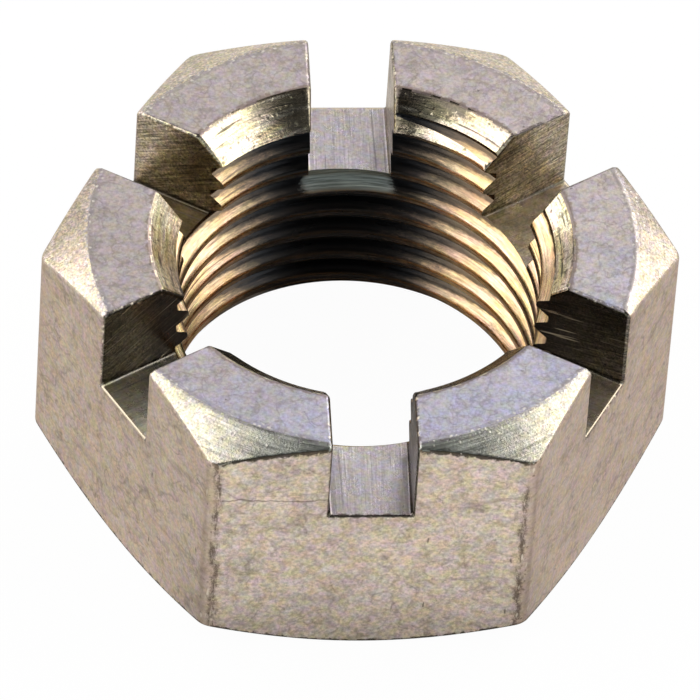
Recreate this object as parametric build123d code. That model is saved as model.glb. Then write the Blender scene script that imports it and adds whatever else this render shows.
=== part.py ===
"""Slotted hexagon nut for a 7/8 inch, 14 threads per inch stud: one steel piece, in millimetres.

The bearing face lies on z = 0, the bore's axis is +Z and the slots open upwards.
Two flats, each with a slot in its middle, face -Y and +Y, and two corners point along -X and +X.
The bore is plain, at the thread's minor diameter.
"""

import os
from math import cos, pi, radians, tan

from build123d import *

# Hexagon bar and overall height
SIDES = 6
ACROSS_FLATS = 31.75
HEIGHT = 16.67
CORNER_RADIUS = 0.35

# Turned chamfers, which leave a round flat face at both ends
FACE_DIAMETER = 31.4
CHAMFER_ANGLE = 30.0

# Bore and its countersinks, the same at both ends
BORE_DIAMETER = 20.6
COUNTERSINK_DIAMETER = 24.2
COUNTERSINK_ANGLE = 90.0

# Split-pin slots, one in the middle of each flat
SLOT_WIDTH = 4.76
SLOT_DEPTH = 5.87

# Length by which a cutter or the bar passes the face that it cuts or is cut to
RUN_OUT = 1.0


def hexagon_bar() -> Part:
    """Bar with lightly rounded corners, longer than the nut by the run-out at both ends."""
    outline = RegularPolygon(ACROSS_FLATS / 2, SIDES, major_radius=False)
    bar = Pos(0, 0, -RUN_OUT) * extrude(outline, HEIGHT + 2 * RUN_OUT)
    return fillet(bar.edges().filter_by(Axis.Z), CORNER_RADIUS)


def turned_envelope() -> Part:
    """Ring with the faces, chamfer cones, countersinks and bore that the bar is turned to."""
    rim_radius = ACROSS_FLATS / 2 / cos(pi / SIDES) + RUN_OUT
    face_radius = FACE_DIAMETER / 2
    mouth_radius = COUNTERSINK_DIAMETER / 2
    bore_radius = BORE_DIAMETER / 2
    chamfer_drop = (rim_radius - face_radius) * tan(radians(CHAMFER_ANGLE))
    countersink_depth = (mouth_radius - bore_radius) / tan(radians(COUNTERSINK_ANGLE / 2))
    half_section = Polyline(
        (bore_radius, countersink_depth),
        (mouth_radius, 0),
        (face_radius, 0),
        (rim_radius, chamfer_drop),
        (rim_radius, HEIGHT - chamfer_drop),
        (face_radius, HEIGHT),
        (mouth_radius, HEIGHT),
        (bore_radius, HEIGHT - countersink_depth),
        close=True,
    )
    return revolve(Plane.XZ * make_face(half_section), Axis.Z)


def slot_cutters() -> list[Part]:
    """Square-bottomed cutters from the axis out through the middle of each flat."""
    reach = ACROSS_FLATS / 2 + RUN_OUT
    cutter = Box(
        reach,
        SLOT_WIDTH,
        SLOT_DEPTH + RUN_OUT,
        align=(Align.MIN, Align.CENTER, Align.MIN),
    )
    first_flat = 90
    floor = Pos(0, 0, HEIGHT - SLOT_DEPTH)
    return [floor * place * cutter for place in PolarLocations(0, SIDES, first_flat)]


def castle_nut() -> Part:
    """The bar turned to its envelope, then slotted."""
    return (hexagon_bar() & turned_envelope()) - slot_cutters()


os.makedirs("parts", exist_ok=True)
export_step(castle_nut(), "parts/castle_nut.step")
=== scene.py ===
"""Castle nut: the finished visual model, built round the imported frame.

One plated steel nut with a hexagon body, chamfered corners, six split-pin slots and a
right-hand thread. Shapes are worked out in millimetres and brought to metres at the end.
"""

from __future__ import annotations

import logging
import math
from dataclasses import dataclass
from enum import Enum
from typing import Any

import bpy
from mathutils import Matrix, Vector

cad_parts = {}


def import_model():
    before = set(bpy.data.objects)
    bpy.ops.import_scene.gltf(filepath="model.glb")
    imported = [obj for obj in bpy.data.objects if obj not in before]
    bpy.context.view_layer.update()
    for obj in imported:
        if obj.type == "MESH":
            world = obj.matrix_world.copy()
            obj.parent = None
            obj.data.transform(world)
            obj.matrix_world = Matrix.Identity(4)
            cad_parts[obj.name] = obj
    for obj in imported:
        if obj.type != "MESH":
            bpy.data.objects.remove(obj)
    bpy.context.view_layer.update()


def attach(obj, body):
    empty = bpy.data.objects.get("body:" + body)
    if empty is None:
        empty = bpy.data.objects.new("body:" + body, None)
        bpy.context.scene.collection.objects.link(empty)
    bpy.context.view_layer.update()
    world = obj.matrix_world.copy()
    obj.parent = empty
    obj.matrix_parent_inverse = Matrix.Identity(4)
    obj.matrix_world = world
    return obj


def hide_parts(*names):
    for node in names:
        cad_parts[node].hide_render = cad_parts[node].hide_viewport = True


LOG = logging.getLogger("castle_nut")

# A millimetre in metres, and a sixth of a turn
MM = 0.001
SIXTH = math.pi / 3

# Points nearer to each other than this, in millimetres, are joined
WELD = 0.001

# How each drift of hue pulls red, green and blue
HUE_DRIFTS = (("Yellow", (0.2, 0.2, -1.2)), ("Green", (-0.45, 0.3, -0.2)))

Socket = bpy.types.NodeSocket
Colour = tuple[float, float, float]
Materials = dict["Surface", bpy.types.Material]


class Surface(Enum):
    """The differently worked surfaces of the nut, in the order of its material slots."""

    FLAT = "drawn_flat"
    FACE = "turned_face"
    CHAMFER = "turned_chamfer"
    COUNTERSINK = "turned_countersink"
    SLOT = "sawn_slot"
    THREAD = "tapped_thread"


class NodeSheet:
    """Writing aid for one node tree: adds nodes, fills their sockets and links them."""

    def __init__(self, tree: bpy.types.NodeTree) -> None:
        """Keeps the geometry, shader or world tree that the nodes are added to."""
        self.tree = tree

    def add(self, kind: str, sockets: dict[Any, Any] | None = None, **settings: Any) -> bpy.types.Node:
        """Adds a node and fills its sockets.

        Args:
            kind: The node's type name.
            sockets: Values, or sockets to link from, by the input's name or number.
            settings: Properties of the node itself.

        Returns:
            The new node.
        """
        node = self.tree.nodes.new(kind)
        for name, value in settings.items():
            setattr(node, name, value)
        for key, value in (sockets or {}).items():
            self.feed(node.inputs[key], value)
        return node

    def feed(self, socket: Socket, value: Any) -> None:
        """Links a socket, or several sockets into one, or sets a plain value.

        Args:
            socket: The input to fill.
            value: A plain value, an output socket, or a list of output sockets.
        """
        if isinstance(value, Socket):
            self.tree.links.new(value, socket)
        elif isinstance(value, list):
            for source in value:
                self.tree.links.new(source, socket)
        else:
            socket.default_value = value

    def math(self, operation: str, first: Any, second: Any = 0.0, third: Any = 0.0) -> Socket:
        """Adds a Math node with an operation and up to three operands."""
        operands = {0: first, 1: second, 2: third}
        return self.add("ShaderNodeMath", operands, operation=operation).outputs[0]

    def times(self, first: Any, second: Any) -> Socket:
        """Multiplies two values."""
        return self.math("MULTIPLY", first, second)

    def plus(self, first: Any, second: Any) -> Socket:
        """Adds two values."""
        return self.math("ADD", first, second)

    def minus(self, first: Any, second: Any) -> Socket:
        """Takes the second value from the first."""
        return self.math("SUBTRACT", first, second)

    def times_plus(self, first: Any, second: Any, third: Any) -> Socket:
        """Multiplies two values and adds a third."""
        return self.math("MULTIPLY_ADD", first, second, third)

    def ratio(self, first: Any, second: Any) -> Socket:
        """Divides the first value by the second."""
        return self.math("DIVIDE", first, second)

    def absolute(self, value: Any) -> Socket:
        """Drops a value's sign."""
        return self.math("ABSOLUTE", value)

    def larger(self, first: Any, second: Any) -> Socket:
        """Picks the larger of two values."""
        return self.math("MAXIMUM", first, second)

    def below(self, value: Any, limit: Any) -> Socket:
        """Gives 1 where a value is below a limit, or else 0."""
        return self.math("LESS_THAN", value, limit)

    def above(self, value: Any, limit: Any) -> Socket:
        """Gives 1 where a value is above a limit, or else 0."""
        return self.math("GREATER_THAN", value, limit)

    def length(self, x: Any, y: Any) -> Socket:
        """Works out how long the step from the origin to x and y is."""
        return self.math("SQRT", self.plus(self.times(x, x), self.times(y, y)))

    def spread(
        self, value: Any, low: Any, high: Any, to_low: Any = 0.0, to_high: Any = 1.0, smooth: bool = False
    ) -> Socket:
        """Maps a value from one range to another, clamped at both ends.

        Args:
            value: The value to map.
            low: Start of the range it comes from.
            high: End of that range.
            to_low: What the start becomes.
            to_high: What the end becomes.
            smooth: Whether the ramp eases in and out.

        Returns:
            The mapped value's socket.
        """
        ramp = "SMOOTHSTEP" if smooth else "LINEAR"
        sockets = {0: value, 1: low, 2: high, 3: to_low, 4: to_high}
        return self.add("ShaderNodeMapRange", sockets, interpolation_type=ramp).outputs[0]

    def between(self, share: Any, first: Any, second: Any) -> Socket:
        """Goes from the first value to the second while a share goes from 0 to 1."""
        return self.spread(share, 0.0, 1.0, first, second)

    def blend(self, factor: Any, first: Any, second: Any, way: str = "MIX") -> Socket:
        """Mixes two colours, by the share of the second one and the way of blending."""
        sockets = {0: factor, 6: opaque(first), 7: opaque(second)}
        return self.add("ShaderNodeMix", sockets, data_type="RGBA", blend_type=way).outputs[2]

    def parts(self, vector: Any) -> list[Socket]:
        """Returns the X, Y and Z sockets of a vector."""
        return list(self.add("ShaderNodeSeparateXYZ", {0: vector}).outputs)

    def joined(self, x: Any, y: Any, z: Any) -> Socket:
        """Returns the socket of a vector made from its three parts."""
        return self.add("ShaderNodeCombineXYZ", {0: x, 1: y, 2: z}).outputs[0]

    def grey(self, value: Any) -> Socket:
        """Returns the socket of a vector or colour with one value in all its parts."""
        return self.joined(value, value, value)

    def combined(self, operation: str, vector: Any, other: Any) -> Socket:
        """Adds a Vector Math node of two vectors."""
        operands = {0: vector, 1: other}
        return self.add("ShaderNodeVectorMath", operands, operation=operation).outputs[0]

    def noise(self, vector: Any, scale: Any, detail: float, roughness: float = 0.5) -> Socket:
        """Adds a noise texture, taken at a vector, with the scale, octaves and roughness given."""
        sockets = {"Vector": vector, "Scale": scale, "Detail": detail, "Roughness": roughness}
        return self.add("ShaderNodeTexNoise", sockets).outputs[0]

    def on_side(self, position: Any) -> tuple[Any, Any, Any]:
        """Turns a position back by the whole sixths of a turn that it lies round the axis.

        Args:
            position: Socket of the position.

        Returns:
            Sockets of its place along the nearest flat, out from the axis and up.
        """
        x, y, z = self.parts(position)
        azimuth = self.math("ARCTAN2", y, x)
        sector = self.math("FLOOR", self.ratio(azimuth, SIXTH))
        turn = self.times_plus(sector, SIXTH, SIXTH / 2)
        cosine = self.math("COSINE", turn)
        sine = self.math("SINE", turn)
        out = self.plus(self.times(x, cosine), self.times(y, sine))
        along = self.minus(self.times(y, cosine), self.times(x, sine))
        return along, out, z


def opaque(colour: Any) -> Any:
    """Adds a full alpha to a colour of three numbers, and passes a socket on as it is."""
    return (*colour, 1.0) if isinstance(colour, tuple) else colour


def emptied(block: bpy.types.Material | bpy.types.World) -> bpy.types.NodeTree:
    """Gives a material or a world an empty node tree.

    Args:
        block: The material or world.

    Returns:
        Its tree.
    """
    block.use_nodes = True
    block.node_tree.nodes.clear()
    return block.node_tree


def stood(name: str, data: bpy.types.ID) -> bpy.types.Object:
    """Adds an object to the scene.

    Args:
        name: The object's name.
        data: Its mesh, lamp or camera.

    Returns:
        The object.
    """
    piece = bpy.data.objects.new(name, data)
    bpy.context.scene.collection.objects.link(piece)
    return piece


class Recipe(NodeSheet):
    """A geometry tree with named inputs, put on an object as a modifier."""

    def __init__(self, name: str, sizes: dict[str, float], finishes: Materials) -> None:
        """Makes the tree with its inputs.

        Args:
            name: The tree's name.
            sizes: Named inputs and the values that the modifier gives them.
            finishes: The materials by surface.
        """
        super().__init__(bpy.data.node_groups.new(name, "GeometryNodeTree"))
        face = self.tree.interface
        face.new_socket("Mesh", in_out="INPUT", socket_type="NodeSocketGeometry")
        self.identifiers = {}
        for label in sizes:
            socket = face.new_socket(label, in_out="INPUT", socket_type="NodeSocketFloat")
            self.identifiers[label] = socket.identifier
        face.new_socket("Mesh", in_out="OUTPUT", socket_type="NodeSocketGeometry")
        self.sizes = sizes
        self.finishes = finishes
        self.given = self.add("NodeGroupInput")

    def size(self, label: str) -> Socket:
        """Returns the socket of a named size."""
        return self.given.outputs[label]

    def finish(self, mesh: Any, surface: Surface, chosen: Any) -> None:
        """Makes the mesh real, dresses its last, chosen faces and puts it out."""
        real = self.add("GeometryNodeRealizeInstances", {0: mesh}).outputs[0]
        self.add("NodeGroupOutput", {"Mesh": self.dressed(real, surface, chosen)})

    def bare(self) -> Socket:
        """Returns the field of the faces that are dressed as drawn bar."""
        sockets = {"Material": self.finishes[Surface.FLAT]}
        return self.add("GeometryNodeMaterialSelection", sockets).outputs[0]

    def place(self) -> Socket:
        """Returns the position, as a field on the mesh."""
        return self.add("GeometryNodeInputPosition").outputs[0]

    def bend(self) -> Socket:
        """Returns the angle between an edge's two faces, as a field on the mesh."""
        return self.add("GeometryNodeInputMeshEdgeAngle").outputs["Unsigned Angle"]

    def reach(self) -> Socket:
        """Returns the distance from the axis, as a field on the mesh."""
        x, y, _ = self.parts(self.place())
        return self.length(x, y)

    def compared(self, operation: str, first: Any, second: Any) -> Socket:
        """Returns the field that tells where a comparison of two numbers holds."""
        settings = {"operation": operation, "data_type": "FLOAT"}
        return self.add("FunctionNodeCompare", {0: first, 1: second}, **settings).outputs[0]

    def put_on(self, piece: bpy.types.Object) -> None:
        """Adds the tree to an object and sets its inputs.

        Args:
            piece: The object that gets the modifier.
        """
        modifier = piece.modifiers.new(self.tree.name, "NODES")
        modifier.node_group = self.tree
        for label, value in self.sizes.items():
            modifier[self.identifiers[label]] = float(value)

    def shifted(self, mesh: Any, **moves: Any) -> Socket:
        """Moves, turns or scales a mesh by its Translation, Rotation and Scale."""
        return self.add("GeometryNodeTransform", {"Geometry": mesh, **moves}).outputs[0]

    def raised(self, mesh: Any, height: Any) -> Socket:
        """Moves a mesh straight up."""
        return self.shifted(mesh, Translation=self.joined(0.0, 0.0, height))

    def dressed(self, mesh: Any, surface: Surface, chosen: Any = True) -> Socket:
        """Gives the chosen faces of a mesh, or all, a surface's material."""
        sockets = {"Geometry": mesh, "Selection": chosen, "Material": self.finishes[surface]}
        return self.add("GeometryNodeSetMaterial", sockets).outputs[0]

    def welded(self, mesh: Any) -> Socket:
        """Joins the points of a mesh that lie on each other."""
        return self.add("GeometryNodeMergeByDistance", {"Geometry": mesh, "Distance": WELD}).outputs[0]

    def cut(self, operation: str, first: Any, others: list[Socket]) -> Socket:
        """Combines closed meshes.

        Args:
            operation: INTERSECT or DIFFERENCE.
            first: The mesh that is cut, or None where all meshes count alike.
            others: The meshes that it is crossed with or that are taken away.

        Returns:
            The resulting mesh's socket.
        """
        node = self.add("GeometryNodeMeshBoolean", operation=operation, solver="EXACT")
        if operation == "INTERSECT":
            self.feed(node.inputs[1], [first, *others])
        else:
            self.feed(node.inputs[0], first)
            self.feed(node.inputs[1], others)
        return node.outputs[0]


@dataclass(frozen=True)
class NutBody:
    """The nut before it is tapped: a hexagon bar, turned at both ends and slotted from the top.

    Its sizes are in millimetres. The bands are how near the edge rounding and the dressing
    look for the slot walls, the bore and the flats.
    """

    across_flats: float = 31.75
    height: float = 16.67
    corner_radius: float = 0.9
    corner_steps: int = 7
    face_diameter: float = 31.4
    chamfer_angle: float = 30.0
    countersink_diameter: float = 24.2
    pilot_diameter: float = 19.4
    slot_width: float = 4.76
    slot_depth: float = 5.87
    run_out: float = 1.0
    round_steps: int = 132
    cutter_share: float = 0.36
    cutter_place: float = 0.38
    edge_round: float = 0.24
    round_segments: int = 3
    plain_round_share: float = 0.72
    foot_round_share: float = 0.34
    sharp_angle: float = 22.0
    wall_band: float = 0.05
    bore_band: float = 0.3
    flat_band: float = 0.1

    def inputs(self) -> dict[str, float]:
        """Lists the sizes that the bar's recipe takes in.

        Returns:
            The sizes by the recipe's names for them.
        """
        return {
            "Across flats": self.across_flats,
            "Height": self.height,
            "Corner radius": self.corner_radius,
            "Face radius": self.face_diameter / 2,
            "Chamfer run": 1 / math.tan(math.radians(self.chamfer_angle)),
            "Mouth radius": self.countersink_diameter / 2,
            "Pilot radius": self.pilot_diameter / 2,
            "Slot width": self.slot_width,
            "Slot depth": self.slot_depth,
            "Run-out": self.run_out,
        }

    def build(self, piece: bpy.types.Object, finishes: Materials) -> None:
        """Draws and dresses the slotted bar on an object and rounds its edges."""
        BarRecipe(self, finishes).put_on(piece)
        self.soften(piece)

    def soften(self, piece: bpy.types.Object) -> None:
        """Rounds every edge of the turned and slotted bar.

        Args:
            piece: The object that carries the bar.
        """
        bevel = piece.modifiers.new("edge_round", "BEVEL")
        bevel.limit_method = "WEIGHT"
        bevel.width = self.edge_round
        bevel.segments = self.round_segments
        bevel.use_clamp_overlap = False

    def even_shading(self, piece: bpy.types.Object) -> None:
        """Lets the large surfaces rule the shading at the rounded edges.

        Args:
            piece: The object that carries the tapped nut.
        """
        weighted = piece.modifiers.new("even_shading", "WEIGHTED_NORMAL")
        weighted.mode = "FACE_AREA"
        weighted.keep_sharp = True


class BarRecipe(Recipe):
    """Draws the hexagon bar, turns both its ends and slots it from the top."""

    def __init__(self, body: NutBody, finishes: Materials) -> None:
        """Writes the tree.

        Args:
            body: The nut's sizes.
            finishes: The materials by surface.
        """
        super().__init__("turned_and_slotted_bar", body.inputs(), finishes)
        self.body = body
        bar = self.bar()
        ends = [self.chamfer_cone(top) for top in (True, False)]
        turned = self.cut("INTERSECT", bar, ends)
        cutters = [self.countersink(top) for top in (True, False)]
        cutters.append(self.pilot_drill())
        cutters.append(self.slot_cutters())
        slotted = self.weighed(self.cut("DIFFERENCE", turned, cutters))
        inside = self.below(self.reach(), body.across_flats / 2 - body.flat_band)
        self.finish(slotted, Surface.SLOT, self.times(self.bare(), inside))

    def weighed(self, mesh: Any) -> Socket:
        """Tells the edge rounding how round each edge becomes.

        Slot edges get the full rounding and the others less. The edges at the foot get least,
        because the bottom chamfer is a fifth of a millimetre wide in the middle of a flat.

        Args:
            mesh: The turned and slotted bar.

        Returns:
            The mesh with a weight on every edge.
        """
        sharp = self.above(self.bend(), math.radians(self.body.sharp_angle))
        along, _, up = self.on_side(self.place())
        off_wall = self.absolute(self.minus(self.absolute(along), self.body.slot_width / 2))
        by_slot = self.below(off_wall, self.body.wall_band)
        usual = self.times_plus(by_slot, 1.0 - self.body.plain_round_share, self.body.plain_round_share)
        at_foot = self.below(up, self.body.height / 4)
        share = self.between(at_foot, usual, self.body.foot_round_share)
        outside_bore = self.below(self.size("Pilot radius"), self.minus(self.reach(), self.body.bore_band))
        weight = self.times(self.times(sharp, share), outside_bore)
        named = {"Geometry": mesh, "Name": "bevel_weight_edge", "Value": weight}
        kept = self.add("GeometryNodeStoreNamedAttribute", named, data_type="FLOAT", domain="EDGE")
        return kept.outputs[0]

    def bar(self) -> Socket:
        """Draws the hexagon bar with rounded corners, past both ends of the nut.

        Returns:
            The bar's mesh.
        """
        reach = self.times(self.size("Across flats"), 0.5 / math.cos(SIXTH / 2))
        sockets = {"Resolution": 6, "Radius": reach}
        hexagon = self.add("GeometryNodeCurvePrimitiveCircle", sockets, mode="RADIUS").outputs[0]
        sockets = {"Curve": hexagon, "Count": self.body.corner_steps, "Radius": self.size("Corner radius")}
        rounded = self.add("GeometryNodeFilletCurve", sockets, mode="POLY")
        outline = self.add("GeometryNodeFillCurve", {"Curve": rounded.outputs[0]}, mode="NGONS")
        length = self.times_plus(self.size("Run-out"), 2.0, self.size("Height"))
        sockets = {"Mesh": outline.outputs[0], "Offset": self.joined(0.0, 0.0, length), "Individual": False}
        raised = self.add("GeometryNodeExtrudeMesh", sockets)
        underside = self.add("GeometryNodeFlipFaces", {"Mesh": outline.outputs[0]})
        closed = self.add("GeometryNodeJoinGeometry", {0: [raised.outputs[0], underside.outputs[0]]})
        welded = self.welded(closed.outputs[0])
        placed = self.raised(welded, self.times(self.size("Run-out"), -1.0))
        return self.dressed(placed, Surface.FLAT)

    def cone(self, tip: Any, base: Any, depth: Any) -> Socket:
        """Draws a closed cone that widens downwards from z = 0 at its top.

        Args:
            tip: Radius at the top.
            base: Radius at the bottom.
            depth: Height.

        Returns:
            The cone's mesh.
        """
        sockets = {
            "Vertices": self.body.round_steps,
            "Side Segments": 1,
            "Radius Top": tip,
            "Radius Bottom": base,
            "Depth": depth,
        }
        solid = self.add("GeometryNodeMeshCone", sockets, fill_type="NGON").outputs[0]
        return self.raised(solid, self.times(depth, -1.0))

    def at_end(self, solid: Any, top: bool) -> Socket:
        """Sets a solid drawn below z = 0 at the nut's top, or turned over at its bottom.

        Args:
            solid: The mesh, drawn for the top end with the end face at z = 0.
            top: Whether it goes to the top.

        Returns:
            The placed mesh.
        """
        if top:
            return self.raised(solid, self.size("Height"))
        return self.shifted(solid, Rotation=(math.pi, 0.0, 0.0))

    def chamfer_cone(self, top: bool) -> Socket:
        """Draws the cone that chamfers the corners at one end and ends in the flat face.

        Args:
            top: Whether it is the top's.

        Returns:
            The placed cone, its end face dressed as turned face.
        """
        depth = self.plus(self.size("Height"), self.size("Run-out"))
        base = self.times_plus(depth, self.size("Chamfer run"), self.size("Face radius"))
        solid = self.cone(self.size("Face radius"), base, depth)
        coned = self.dressed(solid, Surface.CHAMFER)
        height = self.parts(self.place())[2]
        on_face = self.compared("GREATER_THAN", height, -WELD)
        faced = self.dressed(coned, Surface.FACE, on_face)
        return self.at_end(faced, top)

    def countersink(self, top: bool) -> Socket:
        """Draws the cutter of the 90 degree countersink at one end.

        Args:
            top: Whether it is the top's.

        Returns:
            The placed cutter.
        """
        depth = self.times(self.size("Mouth radius"), 0.5)
        above = self.size("Run-out")
        wide = self.plus(self.size("Mouth radius"), above)
        narrow = self.minus(self.size("Mouth radius"), depth)
        solid = self.cone(wide, narrow, self.plus(depth, above))
        raised = self.raised(solid, above)
        return self.at_end(self.dressed(raised, Surface.COUNTERSINK), top)

    def pilot_drill(self) -> Socket:
        """Draws the drill of the pilot bore, which the tap later opens to the thread's crests.

        Returns:
            The drill's mesh, past both ends of the nut.
        """
        length = self.times_plus(self.size("Run-out"), 4.0, self.size("Height"))
        sockets = {
            "Vertices": self.body.round_steps,
            "Side Segments": 1,
            "Radius": self.size("Pilot radius"),
            "Depth": length,
        }
        drill = self.add("GeometryNodeMeshCylinder", sockets, fill_type="NGON").outputs[0]
        placed = self.raised(drill, self.times(self.size("Height"), 0.5))
        return self.dressed(placed, Surface.THREAD)

    def slot_cutters(self) -> Socket:
        """Draws the six saw cuts, each from inside the bore out through the middle of a flat.

        Returns:
            The cutters as one mesh, which leaves bare bar until the tree's last step.
        """
        length = self.times(self.size("Across flats"), self.body.cutter_share)
        depth = self.plus(self.size("Slot depth"), self.size("Run-out"))
        size = self.joined(length, self.size("Slot width"), depth)
        cutter = self.add("GeometryNodeMeshCube", {"Size": size}).outputs[0]
        radius = self.times(self.size("Across flats"), self.body.cutter_place)
        ring = self.add("GeometryNodeMeshCircle", {"Vertices": 6, "Radius": radius}).outputs[0]
        turn = self.times(self.add("GeometryNodeInputIndex").outputs[0], SIXTH)
        sockets = {"Points": ring, "Instance": cutter, "Rotation": self.joined(0.0, 0.0, turn)}
        placed = self.add("GeometryNodeInstanceOnPoints", sockets).outputs[0]
        solid = self.add("GeometryNodeRealizeInstances", {0: placed}).outputs[0]
        middle = self.times_plus(depth, 0.5, self.minus(self.size("Height"), self.size("Slot depth")))
        place = self.joined(0.0, 0.0, middle)
        turned = self.shifted(solid, Rotation=(0.0, 0.0, SIXTH / 2), Translation=place)
        return self.dressed(turned, Surface.FLAT)


@dataclass(frozen=True)
class Thread:
    """The right-hand thread, with its sizes in millimetres.

    The profile gives, for points up one pitch, the share of the pitch from the middle of a
    crest and the share of the thread's depth.
    """

    height: float = 16.67
    minor_diameter: float = 20.6
    major_diameter: float = 22.225
    pitch: float = 1.8143
    crest_height: float = 0.03
    run_out: float = 1.5
    steps: int = 144
    smooth_angle: float = 32.0
    bore_band: float = 0.1
    profile: tuple[tuple[float, float], ...] = (
        (-0.115, 0.03),
        (-0.095, 0.0),
        (-0.03, 0.0),
        (0.03, 0.02),
        (0.085, 0.075),
        (0.135, 0.17),
        (0.19, 0.33),
        (0.27, 0.64),
        (0.35, 0.93),
        (0.385, 0.99),
        (0.42, 1.0),
        (0.60, 1.0),
        (0.64, 0.95),
        (0.76, 0.47),
    )

    def inputs(self) -> dict[str, float]:
        """Lists the sizes that the thread's recipe takes in.

        Returns:
            The sizes by the recipe's names for them.
        """
        return {
            "Height": self.height,
            "Crest radius": self.minor_diameter / 2,
            "Depth": (self.major_diameter - self.minor_diameter) / 2,
            "Pitch": self.pitch,
            "Crest height": self.crest_height,
            "Run-out": self.run_out,
            "Smooth angle": math.radians(self.smooth_angle),
        }

    def build(self, piece: bpy.types.Object, finishes: Materials) -> None:
        """Cuts and dresses the thread in the bar that an object carries."""
        ThreadRecipe(self, finishes).put_on(piece)


class ThreadRecipe(Recipe):
    """Taps the bore, brings the nut to metres and smooths its gentle edges."""

    def __init__(self, thread: Thread, finishes: Materials) -> None:
        """Writes the tree.

        Args:
            thread: The thread's sizes.
            finishes: The materials by surface.
        """
        super().__init__("tapped_thread", thread.inputs(), finishes)
        self.thread = thread
        tapped = self.cut("DIFFERENCE", self.given.outputs["Mesh"], [self.tap()])
        metres = self.shifted(tapped, Scale=(MM, MM, MM))
        smooth = self.add("GeometryNodeSetShadeSmooth", {"Geometry": metres}).outputs[0]
        gentle = self.compared("LESS_THAN", self.bend(), self.size("Smooth angle"))
        sockets = {"Geometry": smooth, "Shade Smooth": gentle}
        shaded = self.add("GeometryNodeSetShadeSmooth", sockets, domain="EDGE").outputs[0]
        in_bore = self.below(self.reach(), (thread.major_diameter / 2 + thread.bore_band) * MM)
        self.finish(shaded, Surface.THREAD, self.times(self.bare(), in_bore))

    def tap(self) -> Socket:
        """Draws the tap: a sheet of helical rows, closed to a pole at both ends.

        Returns:
            The tap's mesh, which leaves bare bar until the tree's last step.
        """
        count = len(self.thread.profile)
        turns_below = math.ceil(self.thread.run_out / self.thread.pitch) + 2
        turns = math.ceil((self.thread.height + self.thread.run_out) / self.thread.pitch) + turns_below + 1
        rows = turns * count
        columns = self.thread.steps + 1
        sockets = {"Size X": 1.0, "Size Y": rows - 1.0, "Vertices X": columns, "Vertices Y": rows}
        grid = self.add("GeometryNodeMeshGrid", sockets)
        x, y, _ = self.parts(self.place())
        around = self.plus(x, 0.5)
        row = self.math("ROUND", self.plus(y, (rows - 1) / 2))
        turn = self.math("FLOOR", self.ratio(self.plus(row, 0.5), float(count)))
        place = self.minus(row, self.times(turn, float(count)))
        offset = self.chosen(place, [point[0] for point in self.thread.profile])
        depth = self.chosen(place, [point[1] for point in self.thread.profile])
        climb = self.plus(self.plus(turn, offset), self.minus(around, float(turns_below)))
        height = self.times_plus(climb, self.size("Pitch"), self.size("Crest height"))
        low = self.times(self.size("Run-out"), -1.0)
        high = self.plus(self.size("Height"), self.size("Run-out"))
        held = self.larger(self.math("MINIMUM", height, high), low)
        inside = self.times(self.above(height, low), self.below(height, high))
        radius = self.times_plus(self.times(depth, inside), self.size("Depth"), self.size("Crest radius"))
        not_pole = self.below(self.absolute(y), (rows - 1) / 2 - 0.5)
        reach = self.times(radius, not_pole)
        angle = self.times(around, math.tau)
        across = self.times(reach, self.math("COSINE", angle))
        along = self.times(reach, self.math("SINE", angle))
        spot = self.joined(across, along, held)
        bent = self.add("GeometryNodeSetPosition", {"Geometry": grid.outputs[0], "Position": spot})
        return self.dressed(self.welded(bent.outputs[0]), Surface.FLAT)

    def chosen(self, place: Any, values: list[float]) -> Socket:
        """Picks one of the profile's values by its place in the profile.

        Args:
            place: Number of the profile point.
            values: The values to pick from.

        Returns:
            The picked value's socket.
        """
        switch = self.add("GeometryNodeIndexSwitch", data_type="FLOAT")
        while len(switch.index_switch_items) < len(values):
            switch.index_switch_items.new()
        self.feed(switch.inputs[0], place)
        for number, value in enumerate(values):
            switch.inputs[number + 1].default_value = value
        return switch.outputs[0]


class Effect(NodeSheet):
    """A shader node group that turns a position in millimetres into masks or values.

    Subclasses name the group, its number inputs and its outputs, which are all of one kind,
    and write its nodes from the inputs in `given`.
    """

    name = ""
    numbers: tuple[str, ...] = ()
    results: tuple[str, ...] = ("Mask",)
    kind = "NodeSocketFloat"

    def __init__(self) -> None:
        """Builds the group once."""
        super().__init__(bpy.data.node_groups.new(self.name, "ShaderNodeTree"))
        face = self.tree.interface
        face.new_socket("Position", in_out="INPUT", socket_type="NodeSocketVector")
        for label in self.numbers:
            face.new_socket(label, in_out="INPUT", socket_type="NodeSocketFloat")
        for label in self.results:
            face.new_socket(label, in_out="OUTPUT", socket_type=self.kind)
        self.given = self.add("NodeGroupInput").outputs
        self.add("NodeGroupOutput", dict(zip(self.results, self.write())))

    def write(self) -> tuple[Any, ...]:
        """Writes the group's nodes and returns the sockets for the results, in order."""
        raise NotImplementedError

    def place(self, sheet: NodeSheet, position: Any, **numbers: Any) -> Any:
        """Places the group in a material, with its numbers by name, and returns its outputs."""
        sockets = {label.replace("_", " ").capitalize(): value for label, value in numbers.items()}
        return sheet.add("ShaderNodeGroup", {"Position": position, **sockets}, node_tree=self.tree).outputs


class SideFrame(Effect):
    """Turns a position into its place on the nearest flat: along it, out from the axis and up."""

    name = "side_frame"
    results = ("Place",)
    kind = "NodeSocketVector"

    def write(self) -> tuple[Any, ...]:
        """Joins the three parts of the place."""
        return (self.joined(*self.on_side(self.given["Position"])),)


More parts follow.
